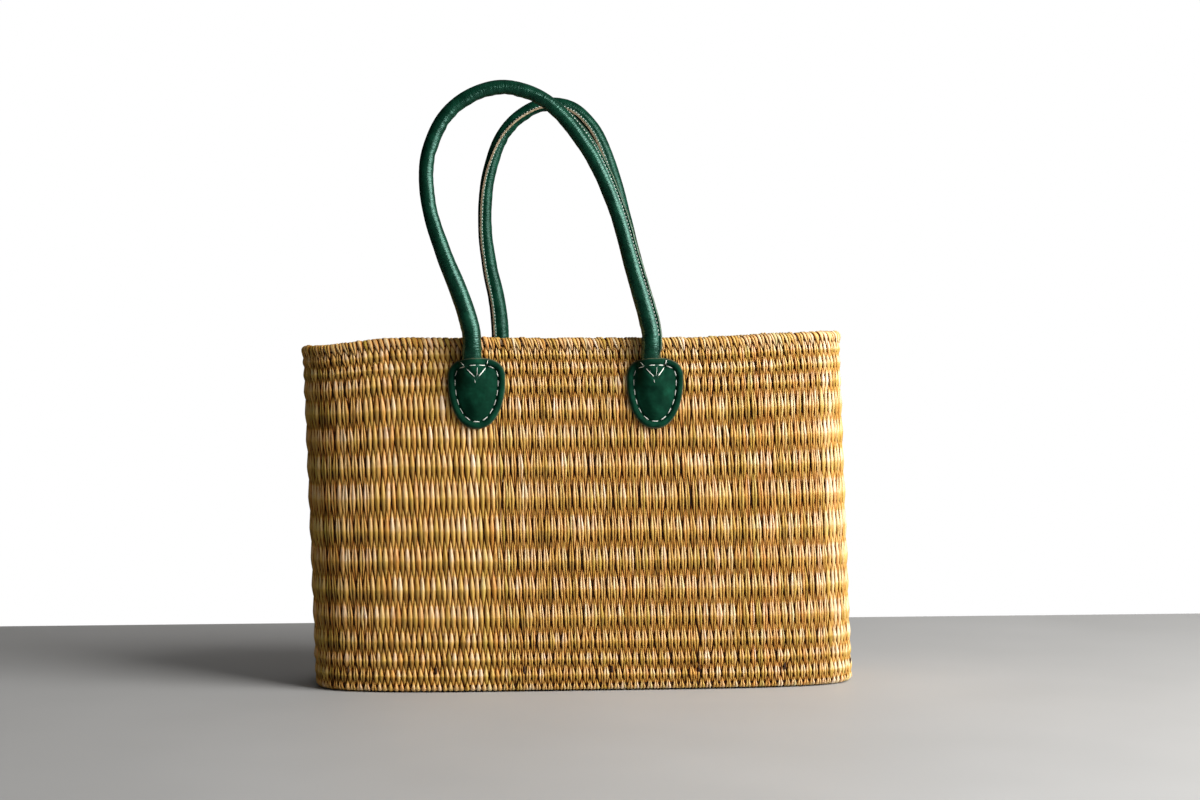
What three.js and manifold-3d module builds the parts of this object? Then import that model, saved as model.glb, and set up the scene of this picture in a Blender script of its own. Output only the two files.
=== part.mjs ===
// Woven market tote: a rush basket with two rolled leather handles.
// Millimetres, +Z up, front at -Y, origin on the ground under the middle of the bag.
import * as THREE from 'three';
import Module from 'manifold-3d';
import { mergeVertices } from 'three/addons/utils/BufferGeometryUtils.js';

const wasm = await Module();
wasm.setup();

// Woven body
const bagLength = 444;
const bagDepth = 150;
const planPower = 4.3; // squareness of the plan: 2 is an ellipse, 10 nearly a rectangle
const rimLean = 11; // how far the soft rim stands further left than the base
const leftDrop = 7; // the hand-made rim sinks round the left end
const leftDropStart = 140; // from the middle of the bag
const rightRise = 5.5; // and climbs round the right end
const rightRiseStart = 85;
const wallThickness = 7;
const courseDip = 1.5; // depth of the groove between two courses
const baseCourse = 8.8;
const narrowCourse = 11.6;
const stepCourse = 15.2;
const wideCourse = 23.6;
const wideCourseCount = 8;
const fit = 0.3; // gap between pieces that lie against each other

// Base
const footRounding = 6; // rounding of the lower outer edge
const lipWidth = 20; // how far the strands turn in under the base
const lipThickness = 4;
const basePanelThickness = 5;
const baseHoopRadius = 3;

// Rim
const rimHoopRadius = 2.5;
const turnedRushThickness = 1.6;

// Handles
const ropeLoopRadius = 4.1;
const leatherThickness = 1.5;
const legSwelling = 1.6; // extra radius of the legs where they meet the basket
const swellingFade = 105; // height over which the legs slim down to the loop
const seamHeight = 2.6; // raw leather edges standing out along the seam
const seamWidth = 2.6;
const fadedSeam = 0.2; // what is left of the seam where it runs in under the tab
const hingeAboveRim = 3;
const foldBackClearance = 24; // degrees cut off under the bend so a handle can lean inwards
const hingeSkin = 0.8; // bend line to the outer face of the leg
const frontLegSpacing = 143;
const frontLegCentre = -19.5;
const backLegSpacing = 133;
const backLegCentre = 6.5;

// Points that the loops pass through: across from the middle of the legs, up from the bend
const frontLoop = [
  [-79, 25], [-95, 66], [-106, 104], [-106, 142], [-88, 177], [-52, 195], [-15, 186],
  [19, 149], [42, 102], [57, 52], [67, 18],
];
const backLoop = [
  [-69, 26], [-76, 60], [-80, 98], [-76, 140], [-61, 177], [-33, 198], [-6, 197],
  [14, 179], [30, 143], [42, 100], [52, 58], [62, 22],
];

// Leather tabs
const tabWidth = 46;
const tabHeight = 57;
const tabTopBelowRim = 16.5;
const tabThickness = 2.4;
const tabDome = 6.4;
const tabShift = 4; // each leg comes down a little to the left of its tab's middle
const footTuck = 24; // length of the flattened handle end under the tab
const footEndHalfThickness = 2.8;
const footEndHalfWidth = 8.4;

// Sizes that follow from the ones above
const turnRadius = rimHoopRadius + fit + turnedRushThickness;
const wallTop = baseCourse + 4 * narrowCourse + 2 * stepCourse + wideCourseCount * wideCourse;
const bagHeight = wallTop + 2 * turnRadius;
const rimProud = Math.max(0, turnRadius - wallThickness / 2);
const loopRadius = ropeLoopRadius + fit + leatherThickness;
const legRadius = loopRadius + legSwelling;
const seatY = bagDepth / 2 + fit;
const legY = seatY + rimProud + legRadius;
const hingeY = legY + legRadius + hingeSkin;
const hingeZ = bagHeight + hingeAboveRim;
const tabTop = bagHeight - tabTopBelowRim;

// How finely round forms are divided
const planPoints = 40;
const sleeveSides = 10;
const coreSides = 8;
const hoopSides = 8;
const loopSteps = 30;

const wovenRush = new THREE.MeshStandardMaterial({ color: 0xc89b55, roughness: 0.75, metalness: 0 });
const reed = new THREE.MeshStandardMaterial({ color: 0xa98450, roughness: 0.8, metalness: 0 });
const greenLeather = new THREE.MeshStandardMaterial({ color: 0x0f4a38, roughness: 0.42, metalness: 0 });
const hempRope = new THREE.MeshStandardMaterial({ color: 0xb7a27c, roughness: 0.9, metalness: 0 });

const bag = new THREE.Group();

// Turns a list of points and triangles into a geometry with its faces pointing out.
function closedGeometry(points, triangles) {
  let volume = 0;
  const cross = new THREE.Vector3();
  for (const [a, b, c] of triangles) {
    volume += points[a].dot(cross.crossVectors(points[b], points[c]));
  }
  const index = triangles.flatMap(([a, b, c]) => (volume > 0 ? [a, b, c] : [a, c, b]));
  const numbers = points.flatMap((point) => point.toArray());
  const geometry = new THREE.BufferGeometry();
  geometry.setAttribute('position', new THREE.Float32BufferAttribute(numbers, 3));
  geometry.setIndex(index);
  geometry.computeVertexNormals();
  return geometry;
}

// Quads between two rings of the same number of points, as pairs of triangles.
function bridge(first, second, count) {
  const triangles = [];
  for (let i = 0; i < count; i += 1) {
    const j = (i + 1) % count;
    triangles.push([first + i, first + j, second + j], [first + i, second + j, second + i]);
  }
  return triangles;
}

// Skin over rings that close on themselves, such as a hollow sleeve or a hoop.
function ringLoft(rings) {
  const count = rings[0].length;
  const triangles = rings.flatMap((ring, k) => {
    const next = (k + 1) % rings.length;
    return bridge(k * count, next * count, count);
  });
  return closedGeometry(rings.flat(), triangles);
}

// Skin over rings with a flat fan over each end, such as a rope or a plate.
function cappedLoft(rings) {
  const count = rings[0].length;
  const points = rings.flat();
  const triangles = [];
  for (let k = 0; k + 1 < rings.length; k += 1) {
    triangles.push(...bridge(k * count, (k + 1) * count, count));
  }
  for (const [start, turn] of [[0, false], [(rings.length - 1) * count, true]]) {
    const middle = new THREE.Vector3();
    for (let i = 0; i < count; i += 1) {
      middle.addScaledVector(points[start + i], 1 / count);
    }
    points.push(middle);
    for (let i = 0; i < count; i += 1) {
      const j = (i + 1) % count;
      const [a, b] = turn ? [start + i, start + j] : [start + j, start + i];
      triangles.push([a, b, points.length - 1]);
    }
  }
  return closedGeometry(points, triangles);
}

function addPiece(name, geometry, material) {
  const mesh = new THREE.Mesh(geometry, material);
  mesh.name = name;
  bag.add(mesh);
}

// Sideways shift of the leaning wall at a height.
function leanAt(z) {
  return rimLean * (0.5 - z / bagHeight);
}

// Height that a point of the uneven rim gains or loses. The base stays level.
function riseAt(x, z) {
  const left = THREE.MathUtils.smoothstep(-x, leftDropStart, bagLength / 2);
  const right = THREE.MathUtils.smoothstep(x, rightRiseStart, bagLength / 2);
  return (rightRise * right - leftDrop * left) * (z / bagHeight) ** 2;
}

// One line round the basket, a distance in from the outermost face.
function planRing(inset, z) {
  const points = [];
  for (let i = 0; i < planPoints; i += 1) {
    const turn = (2 * Math.PI * (i + 0.5)) / planPoints;
    const [c, s] = [Math.cos(turn), Math.sin(turn)];
    const x = (bagLength / 2 - inset) * Math.sign(c) * Math.abs(c) ** (2 / planPower);
    const y = (bagDepth / 2 - inset) * Math.sign(s) * Math.abs(s) ** (2 / planPower);
    points.push(new THREE.Vector3(x + leanAt(z), y, z + riseAt(x, z)));
  }
  return points;
}

// Heights of the courses from the base up to the rim.
function courseHeights() {
  const wide = Array(wideCourseCount).fill(wideCourse);
  const gathered = [narrowCourse, narrowCourse];
  return [baseCourse, ...gathered, stepCourse, ...wide, stepCourse, ...gathered];
}

// Outer face of the wall: every course swells out and dips in again at its ends.
function wallSection() {
  const section = [[footRounding, 0], [footRounding * 0.29, footRounding * 0.29], [0, footRounding]];
  let z = baseCourse;
  for (const height of courseHeights().slice(1)) {
    section.push([courseDip, z], [0, z + height * 0.32], [0, z + height * 0.68]);
    z += height;
  }
  section.push([courseDip, wallTop], [wallThickness, wallTop]);
  section.push([wallThickness, lipThickness], [lipWidth, lipThickness], [lipWidth, 0]);
  return section;
}

function makeWall() {
  return ringLoft(wallSection().map(([inset, z]) => planRing(inset, z)));
}

// The base panel lies on the turned-in lip, inside the wall.
function makeBasePanel() {
  const inset = wallThickness + fit;
  const low = lipThickness + fit;
  const high = low + basePanelThickness;
  const edge = basePanelThickness / 3;
  return cappedLoft([
    planRing(inset + edge, low), planRing(inset, low + edge),
    planRing(inset, high - edge), planRing(inset + edge, high),
  ]);
}

// A hoop of round reed that follows the wall, centred at an inset and a height.
function makeHoop(radius, inset, height) {
  const rings = [];
  for (let k = 0; k < hoopSides; k += 1) {
    const turn = (2 * Math.PI * k) / hoopSides;
    rings.push(planRing(inset - radius * Math.cos(turn), height + radius * Math.sin(turn)));
  }
  return ringLoft(rings);
}

// Strand ends turned over the rim hoop: a channel that is open below.
function makeTurnedRim() {
  const centre = bagHeight - turnRadius;
  const lip = Math.asin((turnRadius - fit) / turnRadius);
  const bore = rimHoopRadius + fit;
  const steps = 6;
  const rings = [];
  for (const [radius, from, to] of [[turnRadius, -lip, Math.PI + lip], [bore, Math.PI + lip, -lip]]) {
    for (let k = 0; k <= steps; k += 1) {
      const turn = from + ((to - from) * k) / steps;
      rings.push(planRing(wallThickness / 2 - radius * Math.cos(turn), centre + radius * Math.sin(turn)));
    }
  }
  return ringLoft(rings);
}

// Cross-section of a handle at a station. Angle 0 points away from the loop's middle and
// a right angle points over the mouth. The seam stands out at its own angle.
function handleRing(station, grow, sides, seam) {
  const { centre, outward, inward, across, deep, seamTurn } = station;
  const points = [];
  const add = (turn, extra) => {
    const point = centre.clone();
    point.addScaledVector(outward, (across + grow + extra) * Math.cos(turn));
    point.addScaledVector(inward, (deep + grow + extra) * Math.sin(turn));
    points.push(point);
  };
  const half = seam > 0 ? Math.asin(seamWidth / 2 / across) : Math.PI / sides;
  if (seam > 0) {
    add(seamTurn - half, seam);
    add(seamTurn + half, seam);
  }
  for (let i = 0; i < sides; i += 1) {
    add(seamTurn + half + ((2 * Math.PI - 2 * half) * i) / (sides - 1), 0);
  }
  return points;
}

// Hollow leather round the stations, with the seam standing out along it.
function makeSleeve(stations) {
  const outer = stations.map((station) => handleRing(station, 0, sleeveSides, station.seam));
  const inner = stations.map((station) => handleRing(station, -leatherThickness, sleeveSides + 2, 0));
  return ringLoft([...outer, ...inner.reverse()]);
}

function makeCore(stations) {
  return cappedLoft(stations.map((station) => handleRing(station, -leatherThickness - fit, coreSides, 0)));
}

// Stations along the free loop of one handle, from the left bend over to the right one.
function loopStations(side, legCentre, legSpacing, route) {
  const low = hingeZ + fit / 2;
  const legs = [-legSpacing / 2, legSpacing / 2];
  const through = [[legs[0], 0], ...route, [legs[1], 0]];
  const points = through.map(([x, z]) => new THREE.Vector3(x + legCentre, side * legY, low + z));
  const curve = new THREE.CatmullRomCurve3(points, false, 'centripetal');
  return Array.from({ length: loopSteps + 1 }, (_, k) => {
    const centre = curve.getPointAt(k / loopSteps);
    const tangent = curve.getTangentAt(k / loopSteps);
    if (k === 0) tangent.set(0, 0, 1);
    if (k === loopSteps) tangent.set(0, 0, -1);
    const climb = THREE.MathUtils.smoothstep(centre.z - hingeZ, 0, swellingFade);
    const radius = legRadius - legSwelling * climb;
    return {
      centre,
      outward: new THREE.Vector3(-tangent.z, 0, tangent.x),
      inward: new THREE.Vector3(0, -side, 0),
      across: radius,
      deep: radius,
      seam: seamHeight,
      seamTurn: THREE.MathUtils.degToRad(15 + 75 * climb),
    };
  });
}

// Stations of one fixed handle end, from its flattened tongue under the tab up to the bend.
function footStations(side, legX, outwardX) {
  const widths = [
    [-footTuck, footEndHalfWidth, footEndHalfThickness, 0],
    [-footTuck * 0.5, footEndHalfWidth, (footEndHalfThickness + legRadius) * 0.5, 0],
    [-1, legRadius + 0.4, legRadius - 1, 0],
    [5, legRadius, legRadius, seamHeight * 0.6],
    [hingeZ - fit / 2 - tabTop, legRadius, legRadius, seamHeight],
  ];
  return widths.map(([above, across, deep, seam], k) => {
    const lift = k < 3 ? 0 : rimProud;
    return {
      centre: new THREE.Vector3(legX, side * (seatY + deep + lift), tabTop + above),
      outward: new THREE.Vector3(outwardX, 0, 0),
      inward: new THREE.Vector3(0, -side, 0),
      across,
      deep,
      seam: Math.max(seam, fadedSeam),
      seamTurn: THREE.MathUtils.degToRad(15),
    };
  });
}

// Slopes the top of a fixed end down towards the wall, away from the bend line.
function slopeTop(geometry) {
  const position = geometry.attributes.position;
  const slope = Math.tan(THREE.MathUtils.degToRad(foldBackClearance));
  for (let i = 0; i < position.count; i += 1) {
    const inFromBend = hingeY - Math.abs(position.getY(i));
    const limit = hingeZ - fit / 2 - Math.max(0, inFromBend) * slope;
    if (position.getZ(i) > limit) position.setZ(i, limit);
  }
  return geometry;
}

// Outline of a leather tab, from the middle of its top edge, downwards negative.
function tabOutline() {
  const half = tabWidth / 2;
  const shape = new THREE.Shape();
  shape.moveTo(0, 0);
  shape.quadraticCurveTo(half * 0.62, 0, half * 0.84, -tabHeight * 0.1);
  shape.quadraticCurveTo(half, -tabHeight * 0.2, half, -tabHeight * 0.34);
  shape.bezierCurveTo(half, -tabHeight * 0.68, half * 0.62, -tabHeight, 0, -tabHeight);
  const right = shape.getSpacedPoints(13);
  const left = right.slice(1, -1).reverse().map((p) => new THREE.Vector2(-p.x, p.y));
  return [...right, ...left];
}

// Height of the tab's outer face over the wall.
function tabRise(across, down, share) {
  const dome = tabDome * Math.max(0, 1 - (share / 0.84) ** 2) ** 0.7;
  const overLeg = THREE.MathUtils.smoothstep(-down, -footTuck, 0);
  const legFace = 2 * THREE.MathUtils.lerp(footEndHalfThickness, legRadius - 1, overLeg) + tabThickness;
  const reach = footEndHalfWidth + 1.6 * tabThickness;
  const arch = legFace * Math.sqrt(Math.max(0, 1 - (across / reach) ** 2));
  const near = THREE.MathUtils.smoothstep(-down, -footTuck - 8, -footTuck);
  return Math.max(tabThickness + dome, arch * near);
}

// Domed tab as a closed solid: rings from the outline to the middle, with a flat back.
function tabBlank(side, tabX, legX) {
  const outline = tabOutline();
  const middle = new THREE.Vector2(0, -tabHeight * 0.45);
  const shares = [1, 0.84, 0.62, 0.36, 0.12];
  const place = (p, rise) => new THREE.Vector3(tabX + p.x, side * (seatY + rise), tabTop + p.y);
  const rings = [outline.map((p) => place(p, 0))];
  for (const share of shares) {
    rings.push(outline.map((p) => {
      const q = middle.clone().lerp(p, share);
      return place(q, tabRise(q.x + tabX - legX, -q.y, share));
    }));
  }
  return cappedLoft(rings);
}

function toSolid(geometry) {
  const bare = geometry.clone();
  bare.deleteAttribute('normal');
  bare.deleteAttribute('uv');
  const merged = mergeVertices(bare, 1e-4);
  return new wasm.Manifold(new wasm.Mesh({
    numProp: 3,
    vertProperties: new Float32Array(merged.attributes.position.array),
    triVerts: new Uint32Array(merged.index.array),
  }));
}

function fromSolid(solid) {
  const { vertProperties, triVerts } = solid.getMesh();
  const geometry = new THREE.BufferGeometry();
  geometry.setAttribute('position', new THREE.BufferAttribute(new Float32Array(vertProperties), 3));
  geometry.setIndex(new THREE.BufferAttribute(new Uint32Array(triVerts), 1));
  geometry.computeVertexNormals();
  return geometry;
}

// The handle end runs into a pocket in the back of its tab, open at the top.
function makeTab(side, tabX, legX, stations) {
  const pocket = cappedLoft(stations.map((station) => handleRing(station, fit, sleeveSides, station.seam)));
  return fromSolid(toSolid(tabBlank(side, tabX, legX)).subtract(toSolid(pocket)));
}

function addHandle(place, side, legCentre, legSpacing, route) {
  const loop = loopStations(side, legCentre, legSpacing, route);
  addPiece(`${place}_handle_sleeve`, makeSleeve(loop), greenLeather);
  addPiece(`${place}_handle_rope`, makeCore(loop), hempRope);
  for (const [hand, outwardX] of [['left', -1], ['right', 1]]) {
    const legX = legCentre + (outwardX * legSpacing) / 2;
    const tabX = legX - side * tabShift;
    const foot = footStations(side, legX, outwardX);
    addPiece(`${place}_${hand}_handle_end`, slopeTop(makeSleeve(foot)), greenLeather);
    addPiece(`${place}_${hand}_rope_end`, slopeTop(makeCore(foot.slice(1))), hempRope);
    addPiece(`${place}_${hand}_tab`, makeTab(side, tabX, legX, foot), greenLeather);
  }
}

const baseHoopInset = wallThickness + fit + baseHoopRadius;
const baseHoopHeight = lipThickness + 2 * fit + basePanelThickness + baseHoopRadius;
const rimHoopHeight = bagHeight - turnRadius;

addPiece('woven_wall', makeWall(), wovenRush);
addPiece('base_panel', makeBasePanel(), wovenRush);
addPiece('base_hoop', makeHoop(baseHoopRadius, baseHoopInset, baseHoopHeight), reed);
addPiece('rim_hoop', makeHoop(rimHoopRadius, wallThickness / 2, rimHoopHeight), reed);
addPiece('turned_rim', makeTurnedRim(), wovenRush);
addHandle('front', -1, frontLegCentre, frontLegSpacing, frontLoop);
addHandle('back', 1, backLegCentre, backLegSpacing, backLoop);

export default bag;
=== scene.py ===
import math

import bpy
import numpy as np
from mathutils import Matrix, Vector


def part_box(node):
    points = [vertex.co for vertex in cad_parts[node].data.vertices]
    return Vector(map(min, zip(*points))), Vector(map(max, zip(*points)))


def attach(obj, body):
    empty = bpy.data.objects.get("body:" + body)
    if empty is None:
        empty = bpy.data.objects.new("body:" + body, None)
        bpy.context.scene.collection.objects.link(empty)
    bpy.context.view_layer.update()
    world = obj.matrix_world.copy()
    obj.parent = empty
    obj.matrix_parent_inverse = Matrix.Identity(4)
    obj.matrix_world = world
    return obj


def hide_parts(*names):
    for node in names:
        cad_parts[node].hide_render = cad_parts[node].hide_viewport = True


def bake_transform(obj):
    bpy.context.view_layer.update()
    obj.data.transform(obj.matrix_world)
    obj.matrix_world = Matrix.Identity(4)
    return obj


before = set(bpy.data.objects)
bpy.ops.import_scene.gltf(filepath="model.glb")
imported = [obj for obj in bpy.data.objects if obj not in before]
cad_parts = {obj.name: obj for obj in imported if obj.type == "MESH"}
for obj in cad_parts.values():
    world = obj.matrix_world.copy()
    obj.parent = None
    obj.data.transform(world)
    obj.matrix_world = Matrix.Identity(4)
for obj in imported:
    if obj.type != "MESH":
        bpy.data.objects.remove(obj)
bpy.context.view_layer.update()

# Woven wall
# One sleeve of upright rush strands woven over hidden level cords. Each strand passes outside one
# course and inside the next and is pressed narrow where it crosses, so its floats are spindles that
# lie half a step aside from row to row. Fat rushes stand singly and thin ones in pairs.

# Sizes in this file are in millimetres and become metres when a mesh is made.
MM = 0.001
bag_length, bag_depth, bag_height = 444, 150, 283.2
plan_power = 4.3
wall_thickness = 7
rim_lean = 11
left_drop, left_drop_start = 7, 140
right_rise, right_rise_start = 5.5, 85
course_lines = np.array([
    6.9, 18.7, 31.6, 48.2, 70.2, 93.0, 115.8, 141.3, 168.3, 191.3, 213.7, 236.4, 252.0, 263.6, 274.4,
])
strand_top = 276.5  # the strands' tips end here, behind the turned rim
foot_height = 1.3  # middle of the strands that turn in under the base
foot_reach = 19
foot_shown, foot_relief = 3.4, 0.9  # below this height the strands get no painted shade of the weave
float_relief = 1.95  # how far a float's middle stands out from the middle of the wall
float_bulge = 1.3
top_out, bottom_out = 1.25, 0.7  # floats cross outside the middle of the wall, tops over bottoms
float_half_depth, crossing_half_depth = 1.5, 1.25
crossing_width, float_width = 0.54, 0.97  # half widths as shares of the step between strands
inner_places = [0, 0.1, 0.2, 0.34, 0.5, 0.66, 0.8, 0.9, 1]  # along the stretch inside the wall
inner_widths = [0.54, 0.40, 0.20, 0.66, 0.96, 0.66, 0.20, 0.40, 0.54]
tip_width = 0.4
tall_course = 14  # courses up to this height are low ones
tall_stations = (0, 0.1, 0.2, 0.34, 0.47, 0.53, 0.66, 0.8, 0.9)
low_stations = (0, 0.12, 0.22, 0.36, 0.47, 0.53, 0.64, 0.78, 0.88)
spindle_course = 17  # floats of higher courses are spindles, the others diamonds
spindle_taper, diamond_taper = 1.1, 0.8
top_lean, lean_start, lean_end = 1.4, 255, 276  # the strands lean back along the wall by the rim
single_step, pair_step = 2.2, 2.66  # from one strand to the next, half a float apart
step_spread, share_spread = 0.08, 0.05
drift_spread, line_spread, plump_spread = 0.2, 0.3, 0.085  # how far each strand differs by course
wander_spread, stand_spread = 0.16, 0.12
line_wave_height, line_wave_length = 0.45, 41
pairs_start = -78  # on the front, fat single rushes stand left of this
pair_shares = {"back": 0.55, "left": 0.04, "right": 0.94}
pair_change = 0.3  # how often single rushes may give way to pairs, or pairs to single ones
thin_depth = 0.17  # how much flatter the rushes of a pair are
tie_spacing, tie_first, tie_height = 68.5, -124.5, 16.8
tie_pull, pull_length, pull_height = 1.3, 3.2, 5
round_end = 30
strand_sides = 8
strand_ridge = 1.2
edge_shade, pair_edge_shade = 0.2, 0.4  # painted shade: how much darker the sides of a strand are, taken off its relief
mean_tone, palest_tone = 0.46, 0.91  # a tone of 0 is rust brown and 1 is bleached
strand_tone, float_tone, rush_tone = 0.05, 0.11, 0.09  # how far each of these differs in tone
painted_top_light = 0.2  # painted light from above: the upper half of a float is paler by this, the lower half darker
low_rows, low_row_tone = 50, 0.05  # the rows below this height are darker
foot_tone = 0.4
# painted light of the window on the right: the rush is paler toward the right end and its corner
end_painted_right_light, corner_painted_right_light = 0.07, 0.2
mean_hue, hue_spread = 0.5, 0.2
longest_rush = 4000  # the grain of each rush starts anywhere up to here
cut_station = 20  # where this station of a rush stands decides on its panel
panel_count = 10
seed = 11


def smoothstep(value, low, high):
    share = np.clip((value - low) / (high - low), 0, 1)
    return share * share * (3 - 2 * share)


def wall_plan():
    """The middle of the wall seen from above: way round, places, outward directions, bend."""
    turn = np.linspace(math.pi, 3 * math.pi, 8001)
    across, deep = (bag_length - wall_thickness) / 2, (bag_depth - wall_thickness) / 2
    x = across * np.sign(np.cos(turn)) * np.abs(np.cos(turn)) ** (2 / plan_power)
    y = deep * np.sign(np.sin(turn)) * np.abs(np.sin(turn)) ** (2 / plan_power)
    way = np.concatenate([[0], np.cumsum(np.hypot(np.diff(x), np.diff(y)))])
    even = np.linspace(0, way[-1], 1201)
    x, y = np.interp(even, way, x), np.interp(even, way, y)
    heading = np.unwrap(np.arctan2(np.gradient(y, even), np.gradient(x, even)))
    bend = np.gradient(heading, even)
    return even, x, y, np.sin(heading), -np.cos(heading), bend


plan_way, plan_x, plan_y, plan_out_x, plan_out_y, plan_bend = wall_plan()
round_way = plan_way[-1]


def on_plan(way, values):
    return np.interp(np.mod(way, round_way), plan_way, values)


def lean_at(height):
    return rim_lean * (0.5 - height / bag_height)


def rise_at(x, height):
    left = smoothstep(-x, left_drop_start, bag_length / 2)
    right = smoothstep(x, right_rise_start, bag_length / 2)
    return (right_rise * right - left_drop * left) * (height / bag_height) ** 2


def on_wall(way, out, height):
    """Points at a way round the wall, a distance out from its middle, and a height."""
    way, out, height = np.broadcast_arrays(way, out, height)
    x = on_plan(way, plan_x) + on_plan(way, plan_out_x) * out
    y = on_plan(way, plan_y) + on_plan(way, plan_out_y) * out
    return np.stack([x + lean_at(height), y, height + rise_at(x, height)], axis=-1)


def along_wall(way):
    """The level direction along the wall."""
    level = np.zeros_like(way)
    return np.stack([-on_plan(way, plan_out_y), on_plan(way, plan_out_x), level], axis=-1)


def crowding(way, out):
    """How much further apart strands stand at a distance out from the middle of the wall."""
    return 1 + on_plan(way, plan_bend) * out


def unit(vectors):
    return vectors / np.linalg.norm(vectors, axis=-1, keepdims=True)


def full_turn(count, shift=0):
    return 2 * math.pi * (np.arange(count) + shift) / count


def soft_tubes(path, across, half_width, half_depth, sides, ridge=1.0):
    """Rings of points round many paths at once: [tube, station, side, xyz], and their lay.

    A ridge over one draws the round section in to a blunt diamond. The lay gives each point's place
    in its own straightened strand, for the grain of the finish."""
    along = unit(np.gradient(path, axis=1))
    across = unit(across - along * np.sum(across * along, axis=-1, keepdims=True))
    deep = np.cross(along, across)
    turn = full_turn(sides)
    wide = half_width[..., None] * np.sign(np.cos(turn)) * np.abs(np.cos(turn)) ** ridge
    thick = half_depth[..., None] * np.sign(np.sin(turn)) * np.abs(np.sin(turn)) ** ridge
    points = path[:, :, None] + across[:, :, None] * wide[..., None] + deep[:, :, None] * thick[..., None]
    steps = np.linalg.norm(np.diff(path, axis=1), axis=-1)
    length = np.concatenate([np.zeros((len(path), 1)), np.cumsum(steps, axis=1)], axis=1)
    lay = np.stack([wide, thick, np.broadcast_to(length[..., None], wide.shape)], axis=-1)
    return points, lay


def tube_faces(tubes, stations, sides, closed=False, order=(0, 1, 2, 3)):
    """Faces of tubes that have flat ends or close on themselves. The order of corners turns them."""
    steps = np.arange(stations if closed else stations - 1)
    tube, station, side = np.meshgrid(np.arange(tubes), steps, np.arange(sides), indexing="ij")
    here = (tube * stations + station) * sides
    after = (tube * stations + (station + 1) % stations) * sides
    beside = (side + 1) % sides
    corners = np.stack([here + side, here + beside, after + beside, after + side], axis=-1)
    walls = corners.reshape(-1, 4)[:, order]
    if closed:
        return [walls]
    first = np.arange(tubes)[:, None] * stations * sides
    last = first + (stations - 1) * sides
    around = np.arange(sides)
    return [walls, np.concatenate([first + around[::-1], last + around])]


def strip_map(tubes, stations, sides):
    """A map of the faces of tubes with flat ends, with a strip of its own for each tube."""
    tube, station, side = np.meshgrid(
        np.arange(tubes), np.arange(stations - 1), np.arange(sides), indexing="ij")
    top, edge = 0.96, 0.94 / sides
    u = np.stack([side, side + 1, side + 1, side], axis=-1) * edge + tube[..., None]
    v = np.stack([station, station, station + 1, station + 1], axis=-1) * top / stations + 0.01
    corners = [np.stack([u / tubes, v], axis=-1).reshape(-1, 2)]
    turn = full_turn(sides)
    for around, row in ((turn[::-1], 0.975), (turn, 0.99)):
        u = (np.arange(tubes)[:, None] + 0.47 + 0.4 * np.cos(around)) / tubes
        v = np.broadcast_to(row + 0.005 * np.sin(around), u.shape)
        corners.append(np.stack([u, v], axis=-1).reshape(-1, 2))
    return np.concatenate(corners)


def make_mesh(name, points, face_groups):
    """A smooth mesh from points in millimetres and groups of faces with as many corners each."""
    mesh = bpy.data.meshes.new(name)
    points = points.reshape(-1, 3)
    corners = np.concatenate([group.ravel() for group in face_groups])
    counts = np.concatenate([np.full(len(group), group.shape[1]) for group in face_groups])
    mesh.vertices.add(len(points))
    mesh.vertices.foreach_set("co", (points * MM).astype(np.float32).ravel())
    mesh.loops.add(len(corners))
    mesh.loops.foreach_set("vertex_index", corners.astype(np.int32))
    mesh.polygons.add(len(counts))
    starts = np.concatenate([[0], np.cumsum(counts)[:-1]])
    mesh.polygons.foreach_set("loop_start", starts.astype(np.int32))
    mesh.polygons.foreach_set("use_smooth", np.ones(len(counts), bool))
    mesh.update(calc_edges=True)
    return mesh


def give_values(mesh, name, values):
    """One number, or one set of three, for each point of a mesh."""
    kind, key = ("FLOAT_VECTOR", "vector") if values.shape[-1:] == (3,) else ("FLOAT", "value")
    attribute = mesh.attributes.new(name, kind, "POINT")
    attribute.data.foreach_set(key, np.ascontiguousarray(values, np.float32).ravel())


def add_object(name, data):
    made = bpy.data.objects.new(name, data)
    bpy.context.scene.collection.objects.link(made)
    return made


def add_piece(name, mesh, material):
    piece = add_object(name, mesh)
    mesh.materials.append(material)
    return piece


def new_finish(name):
    """An empty material: itself, its nodes and its principled shader."""
    material = bpy.data.materials.new(name)
    material.use_nodes = True
    shader = next(n for n in material.node_tree.nodes if n.type == "BSDF_PRINCIPLED")
    return material, material.node_tree, shader


def feed(tree, node, inputs):
    """Inputs of a node set to numbers or linked to sockets."""
    for key, value in inputs.items():
        if isinstance(value, bpy.types.NodeSocket):
            tree.links.new(value, node.inputs[key])
        else:
            node.inputs[key].default_value = value


def add_node(tree, kind, inputs=None, **settings):
    made = tree.nodes.new("ShaderNode" + kind)
    for key, value in settings.items():
        setattr(made, key, value)
    feed(tree, made, inputs or {})
    return made


def add_ramp(tree, share, stops):
    ramp = add_node(tree, "ValToRGB", {"Fac": share})
    points = ramp.color_ramp.elements
    while len(points) < len(stops):
        points.new(0.5)
    for point, (place, colour) in zip(points, stops):
        point.position = place
        point.color = (*colour, 1)
    return ramp.outputs["Color"]


def add_noise(tree, place, scale, detail=2.0, roughness=0.5):
    inputs = {"Vector": place, "Scale": scale, "Detail": detail, "Roughness": roughness}
    return add_node(tree, "TexNoise", inputs).outputs["Fac"]


def add_bump(tree, height, strength, distance, **more):
    inputs = {"Height": height, "Strength": strength, "Distance": distance, **more}
    return add_node(tree, "Bump", inputs).outputs[0]


def add_mix(tree, share, first, second, kind="MIX"):
    inputs = {0: share, 6: first, 7: second}
    return add_node(tree, "Mix", inputs, data_type="RGBA", blend_type=kind).outputs[2]


def add_math(tree, kind, first, second):
    return add_node(tree, "Math", {0: first, 1: second}, operation=kind).outputs[0]


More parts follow.
